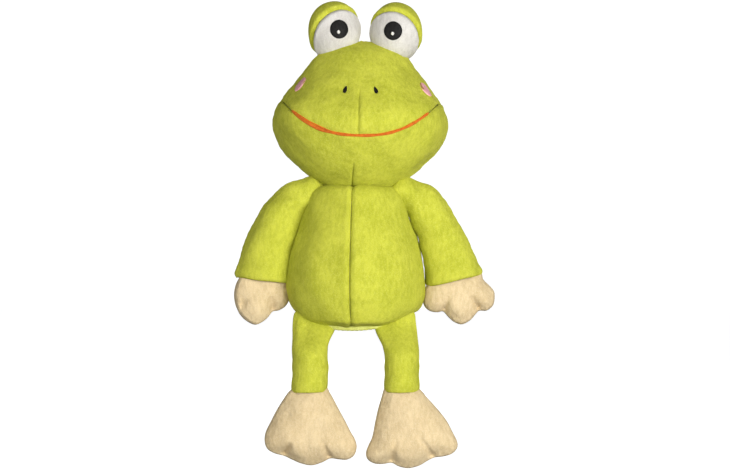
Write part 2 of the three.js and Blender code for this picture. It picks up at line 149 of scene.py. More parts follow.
LEG_X = 35.9
LEG_TOP_IN = {"left": 3.0, "right": 1.2}  # how much closer together the sewn tops are
LEG_TOP_BACK = 15.5  # how far back the sewn top lies
LEG_TOP_FLAT = 0.64  # the share of its depth that it loses there
LEG_FLARE = 4.0  # how much wider it gets on the inside near the top
LEG_RADIUS = 13.8
LEG_Y = -36
LEG_LINE = (
    (0.4, 15.5), (8.6, 15.2), (13, 12.4), (14, 3), (13.8, -20), (13.8, -36), (13.9, -45), (13.1, -48.4),
)
LEG_CORE_LINE = (
    (0.3, 8.5), (6.5, 7.6), (9.8, 3), (11, -8), (11.3, -20), (11.1, -30), (8, -33.6), (0.3, -34.4),
)
ANKLE_Z = -47.6

# Outlines are drawn from the wrist or ankle, outward and up.
HAND_OUTLINE = {
    "left": (
        (0, 9), (18.5, 9), (22, 2), (27, -3), (30.5, -7.5), (31, -13), (29.5, -19), (24.5, -22.8),
        (18.6, -23), (15.5, -26), (11.5, -30.5), (4.8, -33.8), (-1.5, -31.8), (-6, -28), (-10.2, -23.6),
        (-15, -24.2), (-21, -23), (-25.2, -19), (-26.2, -13.5), (-25.2, -7), (-23.2, -2), (-20.5, 3),
        (-17.5, 9),
    ),
    "right": (
        (0, 9), (15, 9), (18.2, 4), (21.2, -2), (22.6, -9), (22, -16), (20.4, -21), (17.4, -26.5),
        (12.5, -31.2), (6, -34), (0.5, -32), (-4, -28.5), (-8, -23.8), (-13, -22.8), (-18.5, -19.5),
        (-21.8, -13.5), (-22, -7), (-20.8, -2), (-19.5, 3), (-17.5, 9),
    ),
}
HAND_CREASES = {
    "left": (((18, -21), (11, -11)), ((-10, -23), (-6, -11))),
    "right": (((-8, -23), (-5, -11)), ((20, -22), (14, -13))),
}
HAND_TWIST = {"left": 0.0, "right": math.radians(14)}
HAND_SHIFT = {"left": 0.5, "right": 0.4}  # how far it follows the sleeve towards the belly
HAND_THICK = 14.5

FOOT_OUTLINE = {
    "left": (
        (0, 6), (9, 6), (13.4, 2), (16.5, -1), (20, -5.4), (28, -14.2), (35.2, -23.4), (40, -32.5),
        (43.6, -39.9), (43.5, -45.1), (39.5, -49.4), (33, -51.5), (26, -52.4), (20.5, -54.9),
        (14, -58.7), (5.5, -60.8), (-2, -59.5), (-8, -56.6), (-14, -57.4), (-21, -57.2), (-26.5, -54.1),
        (-28, -48.9), (-26, -42.8), (-23, -36.1), (-20.5, -23.4), (-18.4, -14.2), (-15.8, -5.4),
        (-14.6, -1), (-13, 3), (-8.5, 6),
    ),
    "right": (
        (0, 6), (9, 6), (13.4, 2), (16.8, -1), (20, -5.4), (25.6, -14.2), (30.4, -23.4), (34.8, -32.5),
        (35.6, -39.9), (33.4, -45.8), (27.5, -49.2), (20.5, -51.1), (14, -54.1), (6.5, -57.2),
        (-1.6, -58.5), (-9.6, -56.2), (-16, -53.2), (-22.5, -53.8), (-29, -54.1), (-34.5, -50.8),
        (-36.6, -44.2), (-35.2, -38), (-32, -32.5), (-27.4, -23.4), (-22.4, -14.2), (-17.8, -5.4),
        (-15.2, -1), (-13.2, 3), (-8.5, 6),
    ),
}
FOOT_CREASES = {
    "left": (((25, -52.2), (13, -34.2)), ((-9, -56), (-4, -36.1))),
    "right": (((21, -50.3), (12, -34.2)), ((-16, -53.2), (-9, -36.1))),
}
FOOT_CENTRE = {"left": (4.5, -33), "right": (0, -33)}
FOOT_THICK = 14.0
BAG_EDGE = 2.2  # within about this distance of its seam a bag keeps its drawn roundness
CREASE = (3.6, 2.2)  # depth and half width of the crease between two fingers or toes
CORE_SHARE = 0.9  # outline of a bag's fibre beside that of its cloth
CORE_UNDER = 2.4  # how far the fibre stays below the cloth

FIBRE_VOXEL = {"small": 1.8, "large": 2.6}

# The cloth simulation that stuffs the hands and feet.
SIM_SCALE = 0.01  # metres for each millimetre, which makes a foot as large as a cushion
SIM_VOXEL = 2.4
SIM_START = 0.78  # share of its full thickness that a bag starts with
SIM_PRESSURE = 4.0
SIM_FRAMES = 20
SIM_CAP = 4.5
SIM_SPREAD = 0.15  # the sewn outline is kept, so little of the sideways movement is

# The stage, in metres and watts.
FLOOR_SIZE = 8
FLOOR_Z = -0.1165
LIGHTS = (
    ("key", (0.9, -1.45, 0.08), 0.9, 37.5),  # place, size, power
    ("fill", (-0.85, -1.5, -0.02), 1.2, 19),
    ("back", (0.3, 1.5, 0.4), 1.0, 9),
)
CAMERA_AWAY = 1.8
CAMERA_X = 0.0072
CAMERA_Z = 0.0744
VIEW_WIDTH = 0.584  # what the picture spans at the puppet's middle


# ---- lines, grids and noise ----
def catmull(points, count):
    """count points along a smooth line through the given ones."""
    base = np.array(points, float)
    line = np.vstack([2 * base[0] - base[1], base, 2 * base[-1] - base[-2]])
    t = np.linspace(0, len(base) - 1, count)
    k = np.minimum(t.astype(int), len(base) - 2)
    f = (t - k)[:, None]
    a, b, c, d = line[k], line[k + 1], line[k + 2], line[k + 3]
    square = 2 * a - 5 * b + 4 * c - d
    cube = 3 * b - a - 3 * c + d
    return 0.5 * (2 * b + (c - a) * f + square * f**2 + cube * f**3)


def even(points, count, closed=False):
    """count points spaced evenly by length along a smooth line."""
    if closed:
        base = np.array(points, float)
        around = np.vstack([base[-2:], base, base[:3]])
        fine = catmull(around, 60 * len(around))
        step = 60 * len(around) / (len(around) - 1)
        fine = fine[int(2 * step): int((2 + len(base)) * step) + 1]
    else:
        fine = catmull(points, 60 * len(points))
    run = run_along(fine, 0)
    at = np.linspace(0, run[-1], count, endpoint=not closed)
    return np.stack([np.interp(at, run, fine[:, i]) for i in range(fine.shape[1])], 1)


def circle(count):
    """count angles evenly round a full turn."""
    return np.linspace(0, FULL_TURN, count, endpoint=False)


def bell(distance, reach):
    """1 at no distance, and nearly 0 from twice the reach on."""
    return np.exp(-((distance / reach) ** 2))


def ease(share):
    """A share from 0 to 1, with a soft start and end."""
    return share**2 * (3 - 2 * share)


def ramp(value, start, length):
    """0 up to start, then evenly up to 1 within a length."""
    return np.clip((value - start) / length, 0, 1)


def wobble(points, size, seed):
    """Smooth noise from about -1 to 1 whose lumps are size millimetres across."""
    draw = np.random.default_rng(seed)
    total = np.zeros(points.shape[:-1])
    for _ in range(9):
        way = draw.normal(size=3)
        way /= np.linalg.norm(way)
        rate = FULL_TURN / (size * draw.uniform(1.4, 2.8))
        total += np.sin(points @ way * rate + draw.uniform(0, FULL_TURN))
    return total / 3.0


def grid_normals(grid, wrap=False):
    """Unit normals of a grid of points, pointing to the side where u cross v points."""
    if wrap:
        padded = np.concatenate([grid[-1:], grid, grid[:1]], 0)
        along_u = np.gradient(padded, axis=0)[1:-1]
    else:
        along_u = np.gradient(grid, axis=0)
    along_v = np.gradient(grid, axis=1)
    normal = np.cross(along_u, along_v)
    length = np.linalg.norm(normal, axis=-1, keepdims=True)
    return normal / np.maximum(length, 1e-9)


def run_along(grid, axis):
    """Distance from the first row or column, measured on the grid or line itself."""
    step = np.linalg.norm(np.diff(grid, axis=axis), axis=-1)
    shape = list(step.shape)
    shape[axis] = 1
    return np.concatenate([np.zeros(shape), np.cumsum(step, axis=axis)], axis)


def seam_pull(distance, along, seed, depth=SEAM_DEPTH):
    """How far a seam pulls its cloth in, with the puckers beside it."""
    share, beside, wide = SEAM_SHOULDER
    groove = -depth * bell(distance, SEAM_WIDTH)
    shoulder = share * depth * bell(distance - beside, wide)
    pitch = 7.5 + 1.5 * math.sin(seed)
    ripple = np.sin(along * FULL_TURN / pitch + 1.7 * np.sin(along / 13 + seed))
    pucker = SEAM_PUCKER * depth * ripple * np.exp(-distance / 3.5) * (1 - np.exp(-distance / 0.8))
    return groove + shoulder + pucker


def dress(grid, edges, seed, lumps=0.5, outward=1, wrap=False, depth=None):
    """A panel's points with its seams, stuffing lumps and cloth ripples. edges names the sewn sides,
    and depth can weaken some of them."""
    normal = grid_normals(grid, wrap) * outward
    run_u, run_v = run_along(grid, 0), run_along(grid, 1)
    move = lumps * wobble(grid, 16, seed) + 0.3 * lumps * wobble(grid, 6.5, seed + 50)
    for k, edge in enumerate(edges):
        across, along = (run_u, run_v) if edge[0] == "u" else (run_v, run_u)
        if edge[1] == "1":
            axis = 0 if edge[0] == "u" else 1
            across = np.take(across, [-1], axis=axis) - across
        share = 1 if depth is None or edge not in depth else depth[edge]
        move = move + seam_pull(across, along, seed + k) * share
    return grid + normal * move[..., None]


# ---- meshes ----
def add_object(name, data):
    thing = bpy.data.objects.new(name, data)
    bpy.context.scene.collection.objects.link(thing)
    return thing


def evaluated(thing):
    """The thing as its modifiers leave it."""
    return thing.evaluated_get(bpy.context.evaluated_depsgraph_get())


def remesh(thing, voxel, smooth=0):
    """Remake a thing's mesh from voxels of a size in Blender's units, and smooth it."""
    change = thing.modifiers.new("remesh", "REMESH")
    change.mode = "VOXEL"
    change.voxel_size = voxel
    if smooth:
        thing.modifiers.new("smooth", "SMOOTH").iterations = smooth
    bpy.context.view_layer.update()
    thing.data = bpy.data.meshes.new_from_object(evaluated(thing))
    thing.modifiers.clear()


def mesh_object(name, points, faces, material):
    mesh = bpy.data.meshes.new(name)
    mesh.from_pydata((np.asarray(points, float) * MM).tolist(), [], faces)
    work = bmesh.new()
    work.from_mesh(mesh)
    bmesh.ops.remove_doubles(work, verts=work.verts, dist=2e-6)
    bmesh.ops.dissolve_degenerate(work, edges=work.edges, dist=1e-6)
    bmesh.ops.recalc_face_normals(work, faces=work.faces)
    work.to_mesh(mesh)
    work.free()
    mesh.polygons.foreach_set("use_smooth", [True] * len(mesh.polygons))
    mesh.materials.append(material)
    return add_object(name, mesh)


def sheet_faces(rows, columns, wrap, offset, flip):
    faces = []
    for i in range(rows if wrap else rows - 1):
        for j in range(columns - 1):
            a = offset + i * columns + j
            b = offset + ((i + 1) % rows) * columns + j
            face = (a, b, b + 1, a + 1)
            faces.append(face[::-1] if flip else face)
    return faces


def double_faces(rows, columns, wrap, flip=False):
    """Faces of two layers of one grid, the second turned the other way."""
    faces = sheet_faces(rows, columns, wrap, 0, flip)
    return faces + sheet_faces(rows, columns, wrap, rows * columns, not flip)


def cloth_piece(name, grid, material, outward=1, thick=CLOTH, wrap=False):
    """A grid of points made into cloth of one thickness, with its edges closed."""
    rows, columns = grid.shape[:2]
    inner = grid - grid_normals(grid, wrap) * outward * thick
    points = np.vstack([grid.reshape(-1, 3), inner.reshape(-1, 3)])
    count = rows * columns
    faces = double_faces(rows, columns, wrap, outward < 0)

    def rim(line):
        for a, b in zip(line[:-1], line[1:]):
            faces.append((a, b, b + count, a + count))

    first = [i * columns for i in range(rows)]
    last = [i * columns + columns - 1 for i in range(rows)]
    if wrap:
        first.append(first[0])
        last.append(last[0])
    else:
        rim(list(range(columns)))
        rim(list(range((rows - 1) * columns, rows * columns)))
    rim(first)
    rim(last)
    return mesh_object(name, points, faces, material)


def set_on(piece, body, node):
    """The piece rides on a body and stands for a CAD node, which it hides."""
    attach(piece, body)
    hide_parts(node)


def bend_between(piece, bodies, start, end, slot, node):
    """For a piece that spans two bodies: its transform is baked in and the CAD node it stands for is
    hidden. It rides on neither body and does not bend between the two places.
    """
    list(bodies)
    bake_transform(piece)
    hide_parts(node)


# ---- materials ----
class Nodes:
    """A material's node tree, built by short calls."""

    def __init__(self, name):
        self.material = bpy.data.materials.new(name)
        self.material.use_nodes = True
        self.tree = self.material.node_tree
        self.shader = self.tree.nodes["Principled BSDF"]
        self.place = self.tree.nodes.new("ShaderNodeTexCoord").outputs["Object"]

    def add(self, kind, **values):
        node = self.tree.nodes.new(kind)
        for key, value in values.items():
            setattr(node, key, value)
        return node

    def link(self, source, target):
        self.tree.links.new(source, target)

    def put(self, value, socket):
        """Set a socket to a number or a colour, or link another node's output to it."""
        if isinstance(value, (int, float)):
            socket.default_value = value
        elif isinstance(value, tuple):
            socket.default_value = (*value, 1)
        else:
            self.link(value, socket)

    def noise(self, scale, detail=3, stretch=(1, 1, 1)):
        mapping = self.add("ShaderNodeMapping")
        mapping.inputs["Scale"].default_value = stretch
        self.link(self.place, mapping.inputs["Vector"])
        node = self.add("ShaderNodeTexNoise")
        node.inputs["Scale"].default_value = scale
        node.inputs["Detail"].default_value = detail
        self.link(mapping.outputs["Vector"], node.inputs["Vector"])
        return node.outputs["Fac"]

    def span(self, value, low, high, out_low=0, out_high=1):
        node = self.add("ShaderNodeMapRange")
        ends = {"From Min": low, "From Max": high, "To Min": out_low, "To Max": out_high}
        for key, number in ends.items():
            node.inputs[key].default_value = number
        self.link(value, node.inputs["Value"])
        return node.outputs["Result"]

    def math(self, operation, a, b):
        node = self.add("ShaderNodeMath", operation=operation)
        for socket, value in zip(node.inputs, (a, b)):
            self.put(value, socket)
        return node.outputs["Value"]

    def mix(self, factor, a, b, blend="MIX"):
        node = self.add("ShaderNodeMix", data_type="RGBA", blend_type=blend)
        self.put(factor, node.inputs["Factor"])
        for socket in [s for s in node.inputs if s.type == "RGBA"]:
            self.put(a if socket.name == "A" else b, socket)
        return [s for s in node.outputs if s.type == "RGBA"][0]

    def bump(self, height, distance, strength=1.0, under=None):
        node = self.add("ShaderNodeBump")
        node.inputs["Strength"].default_value = strength
        node.inputs["Distance"].default_value = distance
        self.link(height, node.inputs["Height"])
        if under is not None:
            self.link(under, node.inputs["Normal"])
        return node.outputs["Normal"]

    def finish(self, colour, normal, roughness, sheen=0.0, tint=(1, 1, 1), specular=0.2):
        self.link(colour, self.shader.inputs["Base Color"])
        self.link(normal, self.shader.inputs["Normal"])
        self.shader.inputs["Roughness"].default_value = roughness
        self.shader.inputs["Sheen Weight"].default_value = sheen
        self.shader.inputs["Sheen Roughness"].default_value = 0.45
        self.shader.inputs["Sheen Tint"].default_value = (*tint, 1)
        self.shader.inputs["Specular IOR Level"].default_value = specular
        return self.material


def plush(name, deep, full, tip, sheen=0.15):
    """Short-pile plush: mottled where the pile leans either way, with fine fibre tips."""
    n = Nodes(name)
    mottle = n.span(n.noise(55, 3), 0.34, 0.68)
    nap = n.span(n.noise(420, 3, (1, 1, 0.4)), 0.32, 0.70)
    pile = n.noise(1700, 3, (1, 1, 0.6))
    lean = n.math("ADD", n.math("MULTIPLY", mottle, 0.45), n.math("MULTIPLY", nap, 0.55))
    colour = n.mix(n.span(lean, 0.1, 0.75), deep, full)
    colour = n.mix(n.span(pile, 0.5, 0.8, 0, 0.6), colour, tip)
    colour = n.mix(n.span(pile, 0.5, 0.25, 0, 0.35), colour, deep)
    soft = n.bump(nap, 0.0004, 0.5)
    normal = n.bump(pile, 0.0006, 0.8, soft)
    return n.finish(colour, normal, 0.95, sheen, tip, 0.08)


def thread(name, deep, full, specular=0.35):
    """Satin-stitch thread, with a soft gloss and slight colour change between strands."""
    n = Nodes(name)
    strand = n.noise(2600, 2)
    patch = n.span(n.noise(420, 2), 0.35, 0.65)
    colour = n.mix(patch, deep, full)
    colour = n.mix(n.span(strand, 0.35, 0.7, 0, 0.5), colour, full)
    return n.finish(colour, n.bump(strand, 0.00015, 0.7), 0.55, 0.0, full, specular)


def knit(name, deep, full, scale=900):
    """Thin woven or knitted cloth, from two crossed waves."""
    n = Nodes(name)
    waves = []
    for direction in ("X", "Z"):
        wave = n.add("ShaderNodeTexWave", bands_direction=direction)
        wave.inputs["Scale"].default_value = scale / 3
        wave.inputs["Distortion"].default_value = 0.6
        n.link(n.place, wave.inputs["Vector"])
        waves.append(wave.outputs["Fac"])
    weave = n.math("MULTIPLY", *waves)
    colour = n.mix(n.span(weave, 0.1, 0.7), deep, full)
    colour = n.mix(n.span(n.noise(90), 0.35, 0.65, 0, 0.3), colour, deep)
    return n.finish(colour, n.bump(weave, 0.0003, 0.6), 0.85, 0.15, full, 0.2)


def fibre(name):
    """Loose polyester fibre."""
    n = Nodes(name)
    strand = n.noise(700, 6, (1, 0.5, 0.3))
    clump = n.span(n.noise(130, 4), 0.3, 0.7)
    colour = n.mix(clump, (0.70, 0.69, 0.66), (0.92, 0.92, 0.90))
    return n.finish(colour, n.bump(strand, 0.0012, 0.8), 0.9, 0.4, (1, 1, 1), 0.15)


LIME = plush("lime plush", (0.45, 0.47, 0.034), (0.61, 0.62, 0.062), (0.77, 0.78, 0.17))
CREAM = plush("cream plush", (0.66, 0.50, 0.27), (0.80, 0.63, 0.37), (0.90, 0.78, 0.55))
WHITE = plush("white plush", (0.60, 0.57, 0.52), (0.74, 0.71, 0.66), (0.86, 0.84, 0.80))
BLACK_THREAD = thread("black thread", (0.004, 0.004, 0.004), (0.012, 0.011, 0.010), 0.12)
WHITE_THREAD = thread("white thread", (0.70, 0.68, 0.62), (0.85, 0.83, 0.78))
ORANGE_THREAD = thread("orange thread", (0.56, 0.11, 0.006), (0.74, 0.175, 0.010), 0.2)
PINK_THREAD = thread("pink thread", (0.66, 0.27, 0.30), (0.86, 0.46, 0.48))
BROWN_THREAD = thread("brown thread", (0.30, 0.16, 0.05), (0.46, 0.26, 0.09))
TRICOT = knit("lining tricot", (0.30, 0.36, 0.05), (0.50, 0.56, 0.14))
BINDING = plush("hem binding", (0.62, 0.64, 0.12), (0.76, 0.78, 0.22), (0.86, 0.87, 0.42))
FIBRE = fibre("fibre fill")


# ---- torso ----
def revolve(line, angles, flat, centre_y):
    """Points of a flattened solid of revolution, by angle and then along the line. flat and centre_y
    are numbers, or one for each point of the line."""
    radius, height = line[:, 0], line[:, 1]
    x = np.cos(angles)[:, None] * radius
    y = np.sin(angles)[:, None] * radius * flat + centre_y
    z = np.broadcast_to(height, x.shape)
    return np.stack([x, y, z], -1)


def hem_curve(x):
    """How much higher the hem sits at each x than at its middle."""
    return np.where(x > 0, HEM_LIFT["left"], HEM_LIFT["right"]) * (x / HEM_HALF[0]) ** 2


def hem_rise(points):
    """How far the torso's lower edge is lifted at its sides, for points near the hem."""
    near = bell(points[..., 2] - TORSO_PROFILE[0][1], HEM_LIFT_FADE)
    return near * hem_curve(points[..., 0])


def torso_panels():
    line = even(TORSO_PROFILE, 96)
    coarse, fine = 3, 13  # the first rows above the hem are split finer
    at = np.linspace(0, coarse, fine, endpoint=False)
    low = np.stack([np.interp(at, np.arange(coarse + 1), line[: coarse + 1, k]) for k in (0, 1)], 1)
    line = np.vstack([low, line[coarse:]])
    gap = 0.0025
    quarters = (("front", "left", 3), ("front", "right", 2), ("back", "left", 0), ("back", "right", 1))
    for half, side, quarter in quarters:
        start = quarter * math.pi / 2 + TORSO_TURN
        angles = np.linspace(start + gap, start + math.pi / 2 - gap, 62)
        grid = revolve(line, angles, TORSO_FLAT, TORSO_Y)
        rim = (1 - ramp(line[:, 1], line[0, 1], RIM_HEIGHT)) ** 1.5
        to_hem = np.sin(angles)[:, None] * line[:, 0] * HEM_HALF[1] / HEM_HALF[0]
        grid[..., 1] = grid[..., 1] * (1 - rim) + to_hem * rim
        grid[..., 2] += hem_rise(grid)
        shallow = {"u0": 0.7, "u1": 0.7}
        grid = dress(grid, ("u0", "u1"), 11 + quarter, 0.55, depth=shallow)
        piece = cloth_piece(f"torso_{half}_{side}_cloth", grid, LIME)
        bend_between(
            piece, ("torso", "neck"), (0, NECK_Y, 103), (0, NECK_Y, 114), "lime_plush",
            f"torso_{half}_{side}_panel",
        )


def hem_band():
    """The folded band round the hand opening, a little uneven, with its stitches pulled in."""
    around = circle(260)
    section = np.linspace(0, FULL_TURN, 18)
    x = HEM_HALF[0] * np.cos(around)
    y = HEM_HALF[1] * np.sin(around)
    lift = hem_curve(x)
    run = around * HEM_RADIUS
    thick, tall = HEM_BAND_HALF
    stitch = 0.12 * np.sin(run * FULL_TURN / 3.2)
    tall = tall + 0.25 * np.sin(run / 11) + stitch
    outward = np.stack([np.cos(around) / HEM_HALF[0], np.sin(around) / HEM_HALF[1]], -1)
    outward /= np.linalg.norm(outward, axis=1, keepdims=True)
    grid = np.zeros((len(around), len(section), 3))
    reach = thick * np.cos(section)
    grid[..., 0] = x[:, None] + outward[:, :1] * reach
    grid[..., 1] = y[:, None] + outward[:, 1:] * reach
    grid[..., 2] = (lift + HEM_BAND_Z)[:, None] + tall[:, None] * np.sin(section)
    faces = sheet_faces(len(around), len(section), True, 0, False)
    piece = mesh_object("hem_band", grid.reshape(-1, 3), faces, BINDING)
    set_on(piece, "torso", "hem_binding")


def lining_cloth():
    """The glove: flat and wide at the hem, round and set back to the neck at the top."""
    line = even(LINING_LINE, 70)
    angles = circle(120)
    height = line[:, 1]
    rise = ease(ramp(height, 45, 46.5))
    grid = revolve(line, angles, LINING_FLAT + (1 - LINING_FLAT) * rise, NECK_Y * rise)
    wrinkle = 0.35 * wobble(grid, 9, 71) - 0.4
    gather = 0.35 * np.sin(angles * 30)[:, None] * ramp(height, 78, 14)
    grid += grid_normals(grid, True) * (wrinkle + gather)[..., None]
    piece = cloth_piece("glove_lining_cloth", grid, TRICOT, thick=0.7, wrap=True)
    set_on(piece, "torso", "glove_lining")


def neck_cloth():
    """The neck's sleeve of plush, gathered where head and torso are sewn to it."""
    angles = circle(160)
    line = even(NECK_LINE, 24)
    grid = revolve(line, angles, 1.0, NECK_Y)
    gather = 0.5 * np.sin(angles * 22)[:, None] + 0.25 * wobble(grid, 5, 81)
    grid += grid_normals(grid, True) * gather[..., None]
    piece = cloth_piece("neck_sleeve_cloth", grid, LIME, wrap=True, thick=1.3)
    set_on(piece, "neck", "neck_sleeve")


# ---- head ----
HEAD_LINE = even(HEAD_PROFILE, 400)


def smile(x):
    return SMILE_Z + SMILE_RISE * np.abs(x / SMILE_HALF) ** SMILE_POWER


def head_points(angle, t):
    """Points of the upright head by angle and place along its profile, before it leans."""
    at = t * (len(HEAD_LINE) - 1)
    radius = np.interp(at, np.arange(len(HEAD_LINE)), HEAD_LINE[:, 0])
    height = np.interp(at, np.arange(len(HEAD_LINE)), HEAD_LINE[:, 1])
    front = HEAD_FRONT + sum(swell * bell(height - at, reach) for at, reach, swell in HEAD_SWELLS)
    depth = np.where(np.sin(angle) < 0, front, HEAD_BACK)
    x = radius * np.cos(angle)
    y = radius * np.sin(angle) * depth + HEAD_Y
    rise, brow_x, reach_x, brow_z, reach_z = BROW
    raised = rise * bell(x - brow_x, reach_x) * bell(height - brow_z, reach_z)
    return np.stack([x, y, height + raised], -1)


def smile_t(angle):
    """Where the smile's line crosses each of the given angles."""
    low, high = np.full(len(angle), 0.1), np.full(len(angle), 0.75)
    for _ in range(30):
        middle = (low + high) / 2
        point = head_points(angle, middle)
        under = point[:, 2] < smile(point[:, 0])
        low = np.where(under, middle, low)
        high = np.where(under, high, middle)
    return (low + high) / 2


def lean(points):
    """Upright head points moved to where the head sits, askew on its neck."""
    turn = np.array(Matrix.Rotation(HEAD_LEAN, 3, "Y"))
    moved = points + np.array([HEAD_X, 0, -HEAD_PIVOT_Z])
    return moved @ turn.T + np.array([0, 0, HEAD_PIVOT_Z])


def centre_dart(grid, x, slope, ends):
    """The groove of a short seam that runs up the middle of a panel."""
    z = grid[..., 2]
    away = np.abs(grid[..., 0] - slope * (z - HEAD_DART_FOOT) - x)
    low, high = ends
    fade = ramp(z, low, 6) * ramp(high - z, 0, 6)
    slit = DART_SLIT[0] * bell(away, DART_SLIT[1])
    return (seam_pull(away, z, 5, DART_DEPTH) - slit) * fade


def dimple(grid, x, z, radius, depth):
    """A soft hollow pressed into the front of the head."""
    away = np.hypot(grid[..., 0] - x, grid[..., 2] - z)
    return -depth * bell(away, radius) * (grid[..., 1] < HEAD_Y)


def head_cloth():
    made = {}
    gap, slit, top = 0.003, 0.0012, 0.9995  # of the angle, and of the way up the profile
    front = np.linspace(math.pi + gap, FULL_TURN - gap, 320)
    meet = smile_t(front)[:, None]
    specs = (
        ("face", meet + slit + np.linspace(0, 1, 110) * (top - meet - slit), ("u0", "u1", "v0")),
        ("chin", np.linspace(0, 1, 90) * (meet - slit), ("u0", "u1", "v1")),
    )
    for name, t, edges in specs:
        grid = head_points(np.broadcast_to(front[:, None], t.shape), t)
        normal = grid_normals(grid)
        past_mouth = np.clip((np.abs(grid[..., 0]) - SMILE_HALF + 4) / 8, 0.15, 0.7)
        grid = dress(grid, edges, 21 + len(name) * 3, 0.6, depth={"v0": past_mouth, "v1": past_mouth})
        move = centre_dart(grid, *DARTS[name])
        if name == "face":
            for _, out in SIDES:
                move = move + dimple(grid, out * NOSTRIL_AT[0], NOSTRIL_AT[1], 4.5, 0.8)
            rise, beside, height, reach = CHEEK_SWELL
            at_cheek = bell(grid[..., 2] - height, reach) * bell(np.abs(grid[..., 0]) - beside, reach)
            move = move + rise * at_cheek
        grid = grid + normal * move[..., None]
        made[name] = cloth_piece(f"{name}_cloth", lean(grid), LIME)
        set_on(made[name], "head", f"{name}_panel")
    for side, start in (("left", 0.0), ("right", math.pi / 2)):
        angles = np.linspace(start + gap, start + math.pi / 2 - gap, 96)
        grid = head_points(*np.meshgrid(angles, np.linspace(0, top, 130), indexing="ij"))
        grid = dress(grid, ("u0", "u1"), 31 + len(side), 0.6)
        piece = cloth_piece(f"head_back_{side}_cloth", lean(grid), LIME)
        set_on(piece, "head", f"head_back_{side}_panel")
    return made


def finger_tube():
    line = even(FINGER_LINE, 60)
    angles = circle(72)
    grid = revolve(line, angles, 1.0, NECK_Y)
    grid[..., 0] -= HEAD_X
    grid += grid_normals(grid, True) * (0.25 * wobble(grid, 7, 91) - 0.2)[..., None]
    piece = cloth_piece("finger_tube_cloth", lean(grid), TRICOT, thick=0.7, wrap=True)
    set_on(piece, "head", "head_finger_tube")


# ---- stitching ----
def surface_of(*pieces):
    """A function that finds where a ray first meets the pieces: the place, and the normal there."""
    bpy.context.view_layer.update()
    trees = [BVHTree.FromObject(p, bpy.context.evaluated_depsgraph_get()) for p in pieces]

    def hit(origin, way):
        for beside in (0, 0.4, -0.4, 0.8, -0.8, 1.6, -1.6):
            start = Vector(origin) + Vector((0, 0, beside))
            found = [tree.ray_cast(start * MM, Vector(way)) for tree in trees]
            found = [f for f in found if f[0] is not None]
            if found:
                place, normal, _, _ = min(found, key=lambda f: f[3])
                return np.array(place) / MM - np.array([0, 0, beside]), np.array(normal)
        raise ValueError(f"no cloth in front of {tuple(origin)}")

    return hit


def embroider(name, hit, sample, shape, way, material, height, stitch, even_out=0):
    """Raised stitching laid on cloth. sample gives each grid point's start, (0..1, -1..1), before it is
    sent along way until it meets the cloth; stitch gives its height from the same two numbers."""
    rows, columns = shape
    place = np.zeros((rows, columns, 3))
    normal = np.zeros_like(place)
    rise = np.zeros((rows, columns, 1))
    for i, u in enumerate(np.linspace(0, 1, rows)):
        for j, w in enumerate(np.linspace(-1, 1, columns)):
            place[i, j], cloth_normal = hit(sample(u, w), way)
            normal[i, j] = cloth_normal - np.array(way)
            rise[i, j] = height * max(1 - w * w, 0) ** 0.35 * stitch(u, w)
    for _ in range(even_out):
        place[1:-1] = (place[:-2] + 2 * place[1:-1] + place[2:]) / 4
        normal[1:-1] = (normal[:-2] + 2 * normal[1:-1] + normal[2:]) / 4
    normal /= np.linalg.norm(normal, axis=-1, keepdims=True)
    top = place + normal * (0.15 + rise)
    bottom = place - normal * 0.6
    points = np.vstack([top.reshape(-1, 3), bottom.reshape(-1, 3)])
    count = rows * columns
    faces = double_faces(rows, columns, False)
    edge = [i * columns for i in range(rows)]
    edge += list(range((rows - 1) * columns + 1, rows * columns))
    edge += [i * columns + columns - 1 for i in range(rows - 2, -1, -1)]
    edge += list(range(columns - 2, 0, -1)) + [0]
    for a, b in zip(edge[:-1], edge[1:]):
        faces.append((a, b, b + count, a + count))
    return mesh_object(name, points, faces, material)


def mouth_stitches(hit):
    x = np.linspace(-SMILE_HALF, SMILE_HALF, 400)
    line = np.stack([x, np.full_like(x, -110.0), smile(x)], 1)
    run = run_along(line, 0)

    def sample(u, w):
        at = u * run[-1]
        point = np.array([np.interp(at, run, line[:, k]) for k in range(3)])
        slope = SMILE_RISE / SMILE_HALF * SMILE_POWER * abs(point[0] / SMILE_HALF) ** (SMILE_POWER - 1)
        slope *= math.copysign(1, point[0])
        wide = 1.1 + 0.85 * math.exp(-(((u - 0.18) / 0.11) ** 2)) - 0.12 * math.cos(u * 40)
        wide *= min(1, 6 * math.sqrt(max(u * (1 - u), 0)) + 0.2)
        lean_out = 1 / math.hypot(1, slope)
        point += w * wide * np.array([-slope * lean_out, 0, lean_out])
        return lean(point[None])[0]

    def stitch(u, w):
        return 0.88 + 0.2 * math.sin(u * run[-1] * FULL_TURN / 1.05 + 0.9 * w)

    shape = (620, 9)
    piece = embroider("mouth_stitches", hit, sample, shape, AWAY, ORANGE_THREAD, 0.8, stitch, 14)
    set_on(piece, "head", "mouth_embroidery")


def disc_sampler(centre, half, way, tilt=0.0, point_end=0.0):
    """Starting points of an oval patch that faces against way, from its top to its bottom."""
    facing = -Vector(way).normalized()
    up = Vector((0, 0, 1))
    side = up.cross(facing).normalized()
    up = facing.cross(side)
    turn = Matrix.Rotation(tilt, 3, facing)
    side, up = turn @ side, turn @ up

    def sample(u, w):
        angle = math.pi * u
        narrow = 1 - point_end * (1 + math.cos(angle)) / 2
        start = Vector(centre) + facing * 40
        start += up * half[1] * math.cos(angle) + side * half[0] * math.sin(angle) * narrow * w
        return np.array(start)

    return sample


